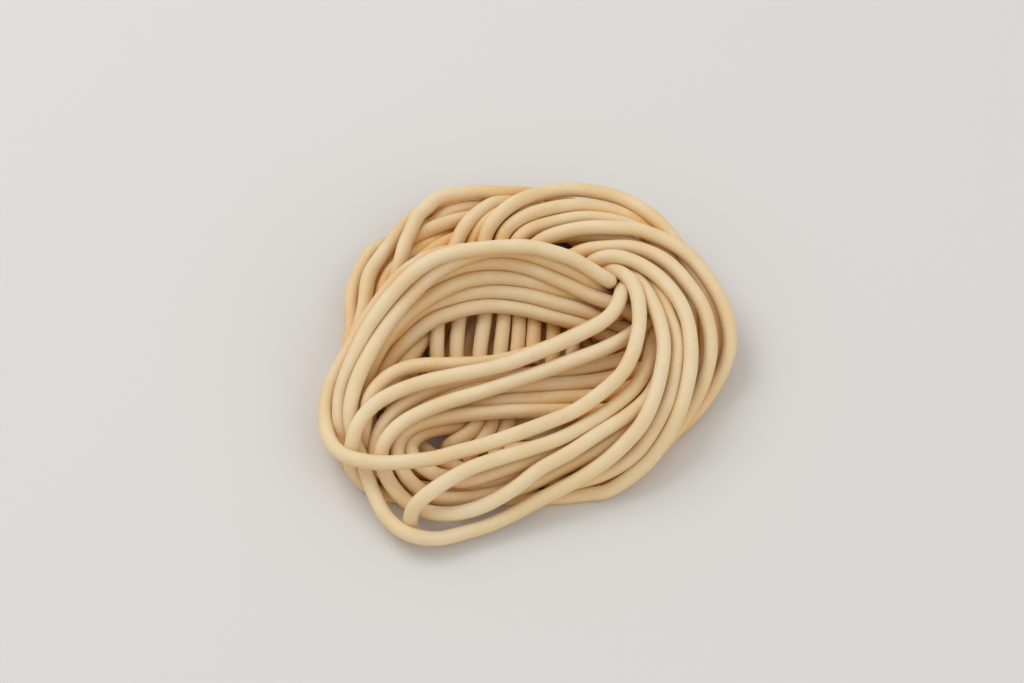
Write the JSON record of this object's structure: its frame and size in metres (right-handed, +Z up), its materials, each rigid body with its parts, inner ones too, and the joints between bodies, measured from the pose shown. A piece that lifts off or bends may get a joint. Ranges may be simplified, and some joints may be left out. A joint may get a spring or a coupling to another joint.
{
  "type": "bucatini nest",
  "caption": "Loose, nearly round nest of fresh, thick, hollow pasta strands wound into overlapping loops, lying on its flat underside.",
  "frame": {"origin": "middle of the nest's box, on the surface that it rests on", "axes": "+Z up; +Y from the nest's front, the side that the picture looks at, to its back; +X to the right as seen from the front"},
  "size_m": [0.0836, 0.084, 0.0216],
  "materials": {
    "fresh_pasta": "matte"
  },
  "bodies": {
    "root": {"bucatini_nest": "fresh_pasta"}
  },
  "joints": []
}
